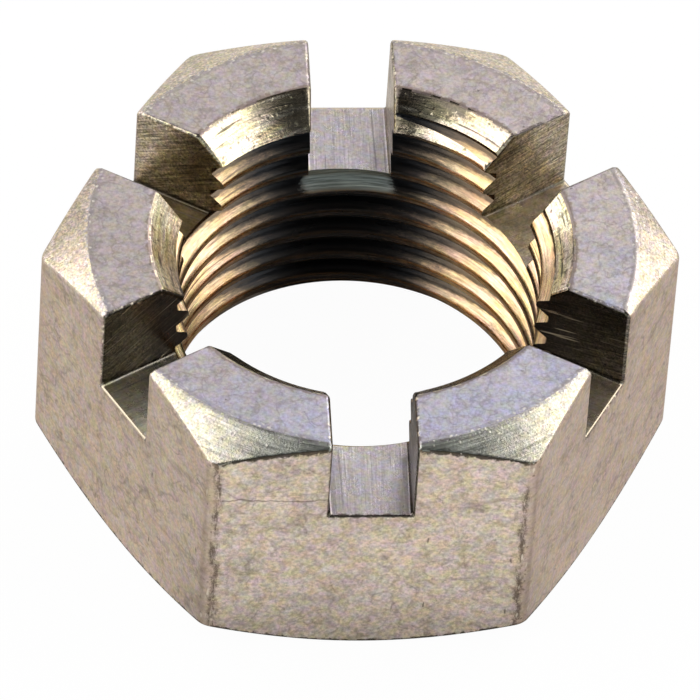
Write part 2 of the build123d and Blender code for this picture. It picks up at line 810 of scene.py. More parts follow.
class RingFrame(Effect):
    """Turns a position into its distance from the axis, its length round it and its height."""

    name = "ring_frame"
    results = ("Place",)
    kind = "NodeSocketVector"
    arc_radius = 13.0

    def write(self) -> tuple[Any, ...]:
        """Works out the radius and the arc length at the radius of most marks.

        Returns:
            Socket of the radius, arc and height.
        """
        x, y, z = self.parts(self.given["Position"])
        radius = self.length(x, y)
        arc = self.times(self.math("ARCTAN2", y, x), self.arc_radius)
        return (self.joined(radius, arc, z),)


class EdgeFrame(Effect):
    """Distances from the edges at which the nut's surfaces meet, from its places on side and ring."""

    name = "edge_frame"
    results = ("Chamfer", "Foot", "Corner", "Side", "Slot", "Rim", "Mouth")

    def __init__(self, body: NutBody, side: SideFrame, ring: RingFrame) -> None:
        """Keeps what the distances are worked out from and builds the group.

        Args:
            body: The sizes of the nut.
            side: Place on the nearest flat.
            ring: Place round the axis.
        """
        self.body = body
        self.side = side
        self.ring = ring
        super().__init__()

    def write(self) -> tuple[Any, ...]:
        """Takes each distance from the sizes that the surfaces are made to.

        Returns:
            Sockets of the distances, in order.
        """
        body = self.body
        along, out, up = self.parts(self.side.place(self, self.given["Position"])["Place"])
        radius = self.parts(self.ring.place(self, self.given["Position"])["Place"])[0]
        beside = self.absolute(along)
        rim = self.minus(radius, body.face_diameter / 2)
        fall = self.times(rim, math.tan(math.radians(body.chamfer_angle)))
        chamfer = self.minus(self.minus(body.height, up), fall)
        foot = self.minus(up, fall)
        corner = self.times_plus(out, math.tan(SIXTH / 2), self.times(beside, -1.0))
        side = self.minus(body.across_flats / 2, out)
        past_wall = self.larger(self.minus(beside, body.slot_width / 2), 0.0)
        under = self.larger(self.minus(body.height - body.slot_depth, up), 0.0)
        slot = self.length(past_wall, under)
        mouth = self.minus(radius, body.countersink_diameter / 2)
        return chamfer, foot, corner, side, slot, rim, mouth


class WearAndShadeLine(Effect):
    """A ragged line along an edge, from the distance to it: worn edges, and painted shade and highlight
    lines.
    """

    name = "wear_and_shade_line"
    numbers = ("Distance", "Width", "Grain")

    def write(self) -> tuple[Any, ...]:
        """Lets the line's width wander with a noise of the grain asked for.

        Returns:
            Socket of the line's mask.
        """
        scale = self.ratio(1.0, self.given["Grain"])
        noise = self.noise(self.given["Position"], scale, 4.0, 0.7)
        wander = self.spread(noise, 0.32, 0.68, 0.15, 1.85)
        width = self.times(self.given["Width"], wander)
        inner = self.times(width, 0.55)
        distance = self.absolute(self.given["Distance"])
        return (self.spread(distance, inner, width, 1.0, 0.0),)


class Mottle(Effect):
    """Cloudy plating: blotches, clouds of every size, fine speckle and two drifts of hue."""

    name = "plating_mottle"
    numbers = ("Blotch size", "Speckle size")
    results = ("Blotch", "Cloud", "Speckle", "Yellow", "Green")

    def write(self) -> tuple[Any, ...]:
        """Takes five noises, the last three at multiples of the speckle's size.

        Returns:
            Sockets of the noises, in order.
        """
        made = []
        for label, stretch, detail, rough, shift in (
            ("Blotch size", 1.0, 4.0, 0.6, 0.0),
            ("Blotch size", 1.2, 6.0, 0.9, 11.0),
            ("Speckle size", 1.0, 2.0, 0.6, 31.0),
            ("Speckle size", 3.0, 1.5, 0.6, 67.0),
            ("Speckle size", 3.4, 2.0, 0.75, 97.0),
        ):
            scale = self.ratio(1.0 / stretch, self.given[label])
            moved = self.combined("ADD", self.given["Position"], (shift, shift, shift))
            made.append(self.spread(self.noise(moved, scale, detail, rough), 0.33, 0.67))
        return tuple(made)


class Streaks(Effect):
    """Tool marks: fine lines close together across X and long along Y."""

    name = "tool_streaks"
    numbers = ("Spacing", "Length")
    results = ("Height", "Scratch", "Groove")

    def write(self) -> tuple[Any, ...]:
        """Stretches two noises along the lines and keeps peaks and dips of one as single marks.

        Returns:
            Sockets of the relief, the scratches and the grooves.
        """
        across = self.ratio(1.0, self.given["Spacing"])
        length = self.ratio(1.0, self.given["Length"])
        stretch = self.joined(across, length, across)
        stretched = self.combined("MULTIPLY", self.given["Position"], stretch)
        lines = self.noise(stretched, 1.0, 3.0, 0.65)
        rare = self.noise(stretched, 0.55, 1.5, 0.6)
        height = self.spread(lines, 0.3, 0.7)
        scratch = self.spread(rare, 0.62, 0.72, smooth=True)
        groove = self.spread(rare, 0.38, 0.28, smooth=True)
        return height, scratch, groove


class Pits(Effect):
    """Small pits or specks, in a share of the cells of the size asked for."""

    name = "pits"
    numbers = ("Cell", "Size", "Share")

    def write(self) -> tuple[Any, ...]:
        """Keeps the middles of some cells, with ragged rims.

        Returns:
            Socket of the pits' mask.
        """
        scale = self.ratio(1.0, self.given["Cell"])
        ragged = self.noise(self.given["Position"], 6.0, 2.0)
        sockets = {"Vector": self.given["Position"], "Scale": scale, "Randomness": 1.0}
        cells = self.add("ShaderNodeTexVoronoi", sockets)
        distance = self.times(cells.outputs["Distance"], self.given["Cell"])
        size = self.given["Size"]
        uneven = self.times(self.minus(ragged, 0.5), size)
        rough = self.times_plus(uneven, 2.5, distance)
        near = self.spread(rough, self.times(size, 0.45), size, 1.0, 0.0)
        chance = self.parts(cells.outputs["Color"])[0]
        kept = self.below(chance, self.given["Share"])
        return (self.times(near, kept),)


class Hairlines(Effect):
    """Wandering hairline scratches, broken into pieces."""

    name = "hairlines"
    numbers = ("Size", "Width", "Share")

    def write(self) -> tuple[Any, ...]:
        """Follows the level lines of two noises and keeps them only in patches.

        Returns:
            Socket of the scratches' mask.
        """
        scale = self.ratio(1.0, self.given["Size"])
        lines = []
        for shift, detail in ((0.0, 2.0), (53.0, 4.0)):
            moved = self.combined("ADD", self.given["Position"], (shift, shift, shift))
            level = self.absolute(self.minus(self.noise(moved, scale, detail), 0.5))
            reach = self.times(self.times(self.given["Width"], scale), 0.7)
            line = self.spread(level, 0.0, reach, 1.0, 0.0)
            patch = self.noise(moved, 0.7, 3.0)
            limit = self.minus(1.0, self.given["Share"])
            kept = self.spread(patch, limit, self.plus(limit, 0.05))
            lines.append(self.times(line, kept))
        return (self.larger(lines[0], lines[1]),)


class Workshop:
    """The effects that the finishes share, each built once."""

    def __init__(self, body: NutBody) -> None:
        """Builds every effect's group.

        Args:
            body: The sizes of the nut, for the distances from its edges.
        """
        self.body = body
        self.side_frame = SideFrame()
        self.ring_frame = RingFrame()
        self.edges = EdgeFrame(body, self.side_frame, self.ring_frame)
        self.wear_and_shade_line = WearAndShadeLine()
        self.mottle = Mottle()
        self.streaks = Streaks()
        self.pits = Pits()
        self.hairlines = Hairlines()


class Coat(NodeSheet):
    """A material in the making: its nodes, the place on the nut and the looks laid on so far.

    Colour, roughness and height are sockets or values; the height is in micrometres.
    """

    def __init__(self, tree: bpy.types.NodeTree, shop: Workshop) -> None:
        """Starts with the position in millimetres.

        Args:
            tree: The material's tree.
            shop: The shared effects.
        """
        super().__init__(tree)
        self.shop = shop
        metres = self.add("ShaderNodeTexCoord").outputs["Object"]
        scaling = {"Vector": metres, "Scale": (1 / MM, 1 / MM, 1 / MM)}
        self.position = self.add("ShaderNodeMapping", scaling, vector_type="POINT").outputs[0]
        self.colour: Any = None
        self.roughness: Any = None
        self.height: Any = 0.0

    def xyz(self) -> list[Socket]:
        """Returns the position's X, Y and Z sockets."""
        return self.parts(self.position)

    def edges(self) -> Any:
        """Returns the distances from the nut's edges, by name."""
        return self.shop.edges.place(self, self.position)

    def side(self) -> Socket:
        """Returns the place on the nearest flat."""
        return self.shop.side_frame.place(self, self.position)["Place"]

    def ring(self) -> Socket:
        """Returns the place round the axis."""
        return self.shop.ring_frame.place(self, self.position)["Place"]

    def laid(self, effect: Effect, at: Any, numbers: dict[str, Any]) -> Any:
        """Places an effect at a vector, or at the plain position where that is None."""
        return effect.place(self, self.position if at is None else at, **numbers)

    def mottle(self, at: Any = None, **numbers: Any) -> Any:
        """Returns the plating's cloudy values, by name."""
        return self.laid(self.shop.mottle, at, numbers)

    def streaks(self, at: Any, **numbers: Any) -> Any:
        """Returns the tool marks' values, by name."""
        return self.laid(self.shop.streaks, at, numbers)

    def pits(self, at: Any = None, **numbers: Any) -> Socket:
        """Returns the mask of pits or specks."""
        return self.laid(self.shop.pits, at, numbers)["Mask"]

    def hairlines(self, at: Any = None, **numbers: Any) -> Socket:
        """Returns the mask of hairline scratches."""
        return self.laid(self.shop.hairlines, at, numbers)["Mask"]

    def wear_and_shade_line(self, **numbers: Any) -> Socket:
        """Returns the mask of a ragged line along an edge."""
        return self.laid(self.shop.wear_and_shade_line, None, numbers)["Mask"]

    def halved(self, x: Any, left: Any, right: Any) -> Socket:
        """Gives one colour on the left half of the nut and another on the right."""
        return self.blend(self.spread(x, -1.0, 1.0), left, right)

    def stretched(self, vector: Any, shares: Colour) -> Socket:
        """Scales a vector by each axis, so that what is taken at it is drawn out."""
        return self.combined("MULTIPLY", vector, shares)

    def turned(self, vector: Any, angle: Any, axis: str = "Z_AXIS") -> Socket:
        """Turns a vector by an angle in radians."""
        sockets = {"Vector": vector, "Angle": angle}
        return self.add("ShaderNodeVectorRotate", sockets, rotation_type=axis).outputs[0]

    def multiplied(self, colour: Any, other: Any) -> Socket:
        """Multiplies a colour by another."""
        return self.blend(1.0, colour, other, "MULTIPLY")

    def toned(self, colour: Any, factor: Any) -> Socket:
        """Darkens or lightens a colour by a factor."""
        return self.multiplied(colour, self.grey(factor))

    def cut_in(self, depth: Any, share: Any) -> None:
        """Adds a share of a relief, in micrometres, to the height."""
        self.height = self.times_plus(depth, share, self.height)

    def shade(self, value: Any, low: Any, high: Any) -> None:
        """Darkens and lightens the colour with a value: by the low factor at 0, the high one at 1."""
        factor = self.between(value, low, high)
        self.colour = self.toned(self.colour, factor)

    def stain(self, mask: Any, strength: float, tone: Any, sink: float = 0.0) -> None:
        """Covers part of the surface with another tone.

        Args:
            mask: Where the stain lies.
            strength: How far it covers.
            tone: Its colour, as numbers or as a socket.
            sink: Depth that it is cut to, in micrometres.
        """
        self.colour = self.blend(self.times(mask, strength), self.colour, tone)
        if sink:
            self.cut_in(mask, -sink)

    def chip(self, distance: Any, reach: float) -> None:
        """Strews bright chips along an edge, where the plating is knocked off.

        Args:
            distance: Distance from the edge.
            reach: How far from the edge chips lie.
        """
        chips = self.pits(cell=0.34, size=0.13, share=0.42)
        near = self.spread(self.absolute(distance), reach, reach * 0.3)
        self.stain(self.times(chips, near), strength=0.75, tone=(0.95, 0.84, 0.66), sink=-2.0)


@dataclass(frozen=True)
class Finish:
    """A plated steel surface: its tones, its gloss and the marks on it.

    Lengths are in millimetres and bump heights in micrometres.
    """

    surface: Surface
    tone: Colour
    cloud: Colour
    roughness: float
    grain_size: float = 0.16
    grain_height: float = 2.0
    speckle_swing: float = 0.14
    cloud_swing: float = 0.14
    hue_swing: float = 0.14
    mark_height: float = 0.0

    def material(self, shop: Workshop) -> bpy.types.Material:
        """Builds the finish's material.

        Args:
            shop: The shared effects.

        Returns:
            The new material.
        """
        material = bpy.data.materials.new(self.surface.value)
        coat = Coat(emptied(material), shop)
        self.plate(coat)
        self.wear_and_shading(coat)
        relief = {"Strength": 1.0, "Distance": 1e-6, "Height": coat.height}
        bump = coat.add("ShaderNodeBump", relief).outputs[0]
        looks = {"Base Color": coat.colour, "Metallic": 1.0, "Roughness": coat.roughness, "Normal": bump}
        steel = coat.add("ShaderNodeBsdfPrincipled", looks)
        coat.add("ShaderNodeOutputMaterial", {"Surface": steel.outputs[0]})
        return material

    def plate(self, coat: Coat) -> None:
        """Lays the cloudy plating that every surface has.

        Args:
            coat: The bare coat, changed in place.
        """
        cloud = coat.mottle(self.grain_space(coat), blotch_size=1.9, speckle_size=self.grain_size)
        colour = self.base(coat, cloud["Blotch"])
        evened = self.evened(coat)
        for label, swing in (("Speckle", self.speckle_swing), ("Cloud", self.cloud_swing)):
            low = coat.between(evened, 1.0 - swing, 1.0)
            high = coat.between(evened, 1.0 + swing, 1.0)
            colour = coat.toned(colour, coat.spread(cloud[label], 0.0, 1.0, low, high))
        for label, pull in HUE_DRIFTS:
            away = tuple(1.0 - self.hue_swing * part for part in pull)
            toward = tuple(1.0 + self.hue_swing * part for part in pull)
            colour = coat.multiplied(colour, coat.blend(cloud[label], away, toward))
        coat.colour = colour
        coat.roughness = coat.between(cloud["Blotch"], self.roughness * 0.8, self.roughness * 1.25)
        coat.height = coat.times(cloud["Speckle"], self.grain_height)

    def grain_space(self, coat: Coat) -> Socket:
        """Returns the space that the plating's grain lies in: the plain position."""
        return coat.position

    def evened(self, coat: Coat) -> Any:
        """Returns how far the speckle is evened out: nowhere."""
        return 0.0

    def base(self, coat: Coat, blotch: Any) -> Socket:
        """Mixes the plain colour under the plating's speckle, by the share of the cloud's tone."""
        return coat.blend(blotch, self.tone, self.cloud)

    def wear_and_shading(self, coat: Coat) -> None:
        """Adds tool marks, worn places and painted light and shade to the plated coat, in place."""
        raise NotImplementedError


class FlatFinish(Finish):
    """The drawn flats of the bar: speckled, pitted and crossed by a few hairlines."""

    middle_end = 9.1
    beside_from = 8.8
    beside_to = 9.6
    front = -14.0
    scratch_height = 12.4
    scratch_left = -9.2
    scratch_right = -1.4
    corner_line = 0.72

    def on_middle_flats(self, coat: Coat) -> Socket:
        """Gives 1 on the front and back flats, or else 0."""
        return coat.below(coat.absolute(coat.xyz()[0]), self.middle_end)

    def evened(self, coat: Coat) -> Socket:
        """Evens out the speckle on the four flats beside the front and back ones."""
        return coat.spread(coat.absolute(coat.xyz()[0]), self.beside_from, self.beside_to, 0.0, 0.35)

    def base(self, coat: Coat, blotch: Any) -> Socket:
        """Dulls the flats to the right of the front and back ones a little, as painted shade."""
        # Painted shade: the flats right of the front and back ones are darkened
        beside = coat.spread(coat.xyz()[0], self.beside_from, self.beside_to, 0.0, 0.8)
        return coat.blend(beside, super().base(coat, blotch), (0.568, 0.452, 0.365))

    def wear_and_shading(self, coat: Coat) -> None:
        """Adds smudges, pits, nicks, hairlines, worn corners and dark lines along the edges, painted shade
        at the chamfer and foot.

        Args:
            coat: The plated coat, changed in place.
        """
        side = coat.side()
        edges = coat.edges()
        smudge = coat.mottle(blotch_size=0.8, speckle_size=0.5)["Cloud"]
        smudged = coat.spread(smudge, 0.6, 0.95, smooth=True)
        coat.stain(smudged, strength=0.5, tone=(0.22, 0.18, 0.14))
        pits = coat.pits(cell=1.3, size=0.085, share=0.12)
        upright = coat.stretched(side, (1.0, 1.0, 0.25))
        nicks = coat.pits(at=upright, cell=0.8, size=0.075, share=0.2)
        curls = coat.hairlines(size=3.6, width=0.08, share=0.49)
        level = coat.stretched(side, (0.16, 1.0, 1.0))
        scrapes = coat.hairlines(at=level, size=3.4, width=0.075, share=0.46)
        coat.stain(coat.larger(curls, scrapes), strength=0.4, tone=(0.15, 0.115, 0.09), sink=1.5)
        web = coat.hairlines(size=3.0, width=0.09, share=0.53)
        coat.stain(web, strength=0.34, tone=(0.2, 0.155, 0.12), sink=1.0)
        coat.stain(self.long_scratch(coat), strength=0.6, tone=(0.13, 0.09, 0.07), sink=2.0)
        coat.stain(coat.larger(pits, nicks), strength=0.7, tone=(0.07, 0.06, 0.05), sink=3.0)
        # Painted shade: dark ragged lines along the chamfer edge and the foot edge
        near_slot = coat.spread(edges["Slot"], 0.5, 5.0, 0.34, 0.18)
        top_shade_line = coat.wear_and_shade_line(distance=edges["Chamfer"], width=near_slot, grain=0.55)
        painted_foot_line = coat.wear_and_shade_line(distance=edges["Foot"], width=0.2, grain=0.4)
        slot_line = coat.wear_and_shade_line(distance=edges["Slot"], width=0.1, grain=0.4)
        top_shade_line = coat.times(top_shade_line, self.on_middle_flats(coat))
        coat.stain(coat.larger(top_shade_line, painted_foot_line), strength=0.9, tone=(0.035, 0.028, 0.02))
        rub_and_painted_sheen = coat.times(coat.spread(edges["Slot"], 1.3, 0.1), coat.spread(smudge, 0.3, 0.8))
        coat.stain(rub_and_painted_sheen, strength=0.45, tone=(0.33, 0.24, 0.175))
        coat.stain(slot_line, strength=0.7, tone=(0.10, 0.075, 0.055))
        coat.chip(edges["Slot"], reach=0.3)
        self.wear_corner(coat)

    def long_scratch(self, coat: Coat) -> Socket:
        """Draws the level scratch across the left half of the front flat.

        Args:
            coat: The coat to write on.

        Returns:
            The scratch's mask.
        """
        x, y, z = coat.xyz()
        waver = coat.mottle(blotch_size=1.3, speckle_size=0.2)["Blotch"]
        height = coat.times_plus(waver, 0.25, z)
        line = coat.spread(coat.absolute(coat.minus(height, self.scratch_height)), 0.09, 0.03)
        left = coat.spread(x, self.scratch_left, self.scratch_left + 0.6)
        right = coat.spread(x, self.scratch_right, self.scratch_right - 1.4)
        extent = coat.times(left, right)
        return coat.times(coat.times(line, extent), coat.below(y, self.front))

    def wear_corner(self, coat: Coat) -> None:
        """Browns the rounded corners and gives them a broken dark line and bright flecks.

        Args:
            coat: The plated coat, changed in place.
        """
        corner = coat.edges()["Corner"]
        patches = coat.mottle(blotch_size=1.4, speckle_size=0.12)
        wander = coat.times_plus(patches["Cloud"], 0.5, corner)
        band = coat.spread(wander, 1.2, 0.4, smooth=True)
        coat.stain(band, strength=0.5, tone=(0.50, 0.36, 0.265))
        stretch = coat.stretched(coat.position, (1.0, 1.0, 0.3))
        broken = coat.mottle(at=stretch, blotch_size=1.1, speckle_size=0.2)
        line = coat.spread(coat.absolute(coat.minus(wander, self.corner_line)), 0.32, 0.08)
        ragged = coat.times(line, coat.spread(broken["Cloud"], 0.32, 0.62))
        broken_line = coat.times(ragged, self.on_middle_flats(coat))
        coat.stain(broken_line, strength=0.85, tone=(0.10, 0.07, 0.05), sink=2.0)
        spots = coat.pits(cell=0.32, size=0.1, share=0.3)
        near = coat.spread(corner, 0.75, 0.4)
        coat.stain(coat.times(spots, near), strength=0.65, tone=(0.13, 0.09, 0.07), sink=2.0)
        flecks = coat.pits(at=stretch, cell=0.3, size=0.09, share=0.3)
        coat.stain(coat.times(flecks, near), strength=0.6, tone=(0.88, 0.78, 0.63))


class FaceFinish(Finish):
    """The turned end faces: brushed lavender plating, bluest towards one corner."""

    brush_angle = math.radians(62)

    def base(self, coat: Coat, blotch: Any) -> Socket:
        """Lets the plain colour drift to blue across the nut.

        Args:
            coat: The coat to write on.
            blotch: Share of the cloud's tone.

        Returns:
            The colour's socket.
        """
        x, y, _ = coat.xyz()
        toward = coat.times_plus(x, 0.3, coat.times(y, -1.1))
        blue = coat.spread(coat.times_plus(blotch, 10.0, toward), 6.0, 22.0)
        return coat.blend(blue, super().base(coat, blotch), (0.405, 0.395, 0.47))

    def wear_and_shading(self, coat: Coat) -> None:
        """Adds the drift of hue, brush marks, fibres and pits, and lines along the face's edges.

        Args:
            coat: The plated coat, changed in place.
        """
        edges = coat.edges()
        patches = coat.mottle(blotch_size=1.6, speckle_size=0.5)
        slant = coat.turned(coat.position, self.brush_angle)
        brushed = coat.streaks(slant, spacing=0.3, length=3.0)
        coat.cut_in(brushed["Height"], self.mark_height)
        coat.stain(brushed["Groove"], strength=0.3, tone=(0.26, 0.24, 0.27))
        smudged = coat.spread(patches["Cloud"], 0.58, 0.95, smooth=True)
        coat.stain(smudged, strength=0.45, tone=(0.24, 0.205, 0.20))
        fibres = coat.hairlines(size=1.7, width=0.07, share=0.56)
        coat.stain(fibres, strength=0.34, tone=(0.15, 0.12, 0.12), sink=1.0)
        pits = coat.pits(cell=1.2, size=0.1, share=0.14)
        coat.stain(pits, strength=0.7, tone=(0.09, 0.08, 0.075), sink=3.0)
        mouth_line = coat.wear_and_shade_line(distance=edges["Mouth"], width=0.26, grain=0.5)
        slot_line = coat.wear_and_shade_line(distance=edges["Slot"], width=0.18, grain=0.35)
        coat.stain(mouth_line, strength=0.6, tone=(0.17, 0.115, 0.085))
        coat.stain(slot_line, strength=0.75, tone=(0.10, 0.08, 0.07))
        coat.chip(edges["Slot"], reach=0.32)
        worn = coat.times_plus(patches["Speckle"], -0.35, coat.absolute(edges["Rim"]))
        worn = coat.times(coat.spread(worn, 0.1, -0.05), coat.spread(coat.xyz()[0], 6.0, 10.0, 0.35, 1.0))
        coat.stain(worn, strength=0.75, tone=(0.27, 0.235, 0.215))
        flecks = coat.pits(cell=0.3, size=0.12, share=0.6)
        by_rim = coat.spread(coat.absolute(coat.plus(edges["Rim"], 0.1)), 0.35, 0.12)
        coat.stain(coat.times(flecks, by_rim), strength=0.7, tone=(0.85, 0.80, 0.70), sink=-2.0)
        rim_line = coat.wear_and_shade_line(distance=coat.plus(edges["Rim"], 0.26), width=0.12, grain=0.6)
        coat.stain(rim_line, strength=0.25, tone=(0.2, 0.18, 0.19))


class ChamferFinish(Finish):
    """The turned corner chamfers: bright grain at the corner, greenish, streaked and dimmed by painted
    shade by the slots.
    """

    def base(self, coat: Coat, blotch: Any) -> Socket:
        """Paints light and shade into the plain colour: bright steel in front, dim beside, the right dimmer
        than the left, and straw behind.

        Args:
            coat: The coat to write on.
            blotch: Share of the cloud's tone.

        Returns:
            The colour's socket.
        """
        x, y, _ = coat.xyz()
        near = super().base(coat, blotch)
        # Painted light and shade: bright in front, dim beside with the right dimmer, straw behind
        ragged = coat.times_plus(blotch, 3.0, y)
        lower = coat.blend(coat.spread(ragged, -7.0, -4.0), near, (0.70, 0.58, 0.455))
        dim_shade = coat.halved(x, (0.61, 0.505, 0.40), (0.38, 0.32, 0.265))
        beside = coat.blend(coat.spread(ragged, -1.0, 3.0), lower, dim_shade)
        return coat.blend(coat.spread(ragged, 8.0, 10.5), beside, (0.64, 0.545, 0.415))

    def wear_and_shading(self, coat: Coat) -> None:
        """Adds turning rings, a greenish zone of painted shade by the front slot, flecks and a painted
        shade line at the flats.

        Args:
            coat: The plated coat, changed in place.
        """
        edges = coat.edges()
        ring = coat.ring()
        rings = coat.streaks(ring, spacing=0.15, length=3.0)
        coat.cut_in(rings["Height"], self.mark_height)
        patches = coat.mottle(blotch_size=1.2, speckle_size=0.2)
        coat.shade(patches["Cloud"], low=0.86, high=1.14)
        x, y, _ = coat.xyz()
        # Painted shade: a dim greenish zone on the chamfers next to the front slot
        ragged = coat.times_plus(patches["Cloud"], 2.4, coat.absolute(x))
        dim_shade = coat.times(coat.spread(ragged, 6.9, 12.4, 1.0, 0.0), coat.spread(y, -9.0, -11.0))
        greenish = coat.blend(coat.spread(ragged, 4.0, 7.5), (0.43, 0.46, 0.42), (0.27, 0.285, 0.26))
        coat.stain(dim_shade, strength=0.85, tone=greenish)
        low = coat.between(dim_shade, 0.95, 0.4)
        high = coat.between(dim_shade, 1.05, 1.7)
        coat.shade(rings["Height"], low, high)
        grooves = coat.times(rings["Groove"], coat.between(dim_shade, 0.25, 1.0))
        coat.stain(grooves, strength=0.75, tone=(0.07, 0.085, 0.075), sink=3.0)
        bright = coat.times(rings["Scratch"], coat.between(dim_shade, 0.3, 1.0))
        coat.stain(bright, strength=0.5, tone=(0.80, 0.80, 0.74))
        flecks = coat.pits(cell=0.36, size=0.1, share=0.3)
        by_rim = coat.spread(edges["Rim"], 0.2, 0.9, 1.0, 0.3)
        coat.stain(coat.times(flecks, by_rim), strength=0.85, tone=(0.98, 0.93, 0.80), sink=-4.0)
        specks = coat.pits(cell=0.45, size=0.08, share=0.2)
        coat.stain(specks, strength=0.6, tone=(0.20, 0.17, 0.13), sink=3.0)
        rough_rim = coat.mottle(blotch_size=0.8, speckle_size=0.22)["Speckle"]
        plated = coat.times_plus(rough_rim, 0.7, edges["Rim"])
        coat.stain(coat.spread(plated, 0.4, 0.3), strength=0.75, tone=(0.44, 0.41, 0.43))
        spangle = coat.mottle(blotch_size=0.45, speckle_size=0.26)
        low = coat.between(dim_shade, 0.8, 1.0)
        high = coat.between(dim_shade, 1.17, 1.0)
        coat.shade(spangle["Speckle"], low, high)
        rim_marks = coat.times(coat.spread(plated, 0.36, 0.26), coat.spread(spangle["Cloud"], 0.45, 0.7))
        coat.stain(rim_marks, strength=0.6, tone=(0.24, 0.205, 0.18))
        # Painted shade: a dark line where the chamfer meets a flat square on to the front
        side_shade_line = coat.wear_and_shade_line(distance=edges["Side"], width=0.1, grain=0.3)
        slot_line = coat.wear_and_shade_line(distance=edges["Slot"], width=0.12, grain=0.35)
        depth = coat.absolute(y)
        past_corner = coat.times_plus(depth, 0.5, coat.times(coat.absolute(x), -0.866))
        square_on = coat.spread(past_corner, -1.2, -0.6)
        side_shade_line = coat.times(side_shade_line, square_on)
        coat.stain(coat.larger(side_shade_line, slot_line), strength=0.6, tone=(0.07, 0.06, 0.045))
        chips = coat.pits(cell=0.3, size=0.12, share=0.45)
        off_side = coat.spread(edges["Side"], 0.35, 0.12)
        beside = coat.times(off_side, coat.minus(1.0, square_on))
        coat.stain(coat.times(chips, beside), strength=0.7, tone=(1.0, 0.90, 0.74))


class TurnedFinish(Finish):
    """A finish whose grain is drawn out along the turns round the axis."""

    drawn_out = 0.22

    def grain_space(self, coat: Coat) -> Socket:
        """Draws the grain out along the turns."""
        return coat.stretched(coat.ring(), (1.0, self.drawn_out, 1.0))


class CountersinkFinish(TurnedFinish):
    """The countersinks: streaks round the bore, crossed by chatter marks up the slope."""

    def wear_and_shading(self, coat: Coat) -> None:
        """Adds both kinds of marks, painted shade over the far part, and a dark mouth line.

        Args:
            coat: The plated coat, changed in place.
        """
        edges = coat.edges()
        ring = coat.ring()
        rings = coat.streaks(ring, spacing=0.17, length=2.2)
        chatter = coat.turned(ring, math.radians(90))
        up_slope = coat.streaks(chatter, spacing=0.24, length=1.2)
        relief = coat.times_plus(up_slope["Height"], 0.6, rings["Height"])
        coat.cut_in(relief, self.mark_height)
        coat.shade(rings["Height"], low=0.65, high=1.35)
        patches = coat.mottle(blotch_size=0.9, speckle_size=0.16)
        coat.shade(patches["Speckle"], low=0.7, high=1.3)
        x, y, _ = coat.xyz()
        # Painted shade over the far part of the countersink, near-black on the right, lighter on the left
        edge = coat.times_plus(x, 0.045, coat.plus(patches["Cloud"], y))
        far_side_shade = coat.halved(x, (0.36, 0.31, 0.22), (0.07, 0.065, 0.052))
        coat.stain(coat.spread(edge, 10.3, 10.8), strength=0.85, tone=far_side_shade)
        coat.stain(rings["Groove"], strength=0.85, tone=(0.06, 0.05, 0.035), sink=3.0)
        coat.stain(up_slope["Groove"], strength=0.6, tone=(0.10, 0.085, 0.055), sink=2.0)
        coat.stain(rings["Scratch"], strength=0.6, tone=(0.92, 0.85, 0.70))
        dints = coat.pits(cell=0.42, size=0.13, share=0.35)
        coat.stain(dints, strength=0.7, tone=(0.12, 0.095, 0.06), sink=3.0)
        flecks = coat.pits(cell=0.3, size=0.09, share=0.35)
        coat.stain(flecks, strength=0.8, tone=(1.0, 0.88, 0.64), sink=-2.0)
        mouth_line = coat.wear_and_shade_line(distance=edges["Mouth"], width=0.14, grain=0.3)
        slot_line = coat.wear_and_shade_line(distance=edges["Slot"], width=0.12, grain=0.35)
        coat.stain(coat.larger(mouth_line, slot_line), strength=0.5, tone=(0.09, 0.075, 0.06))


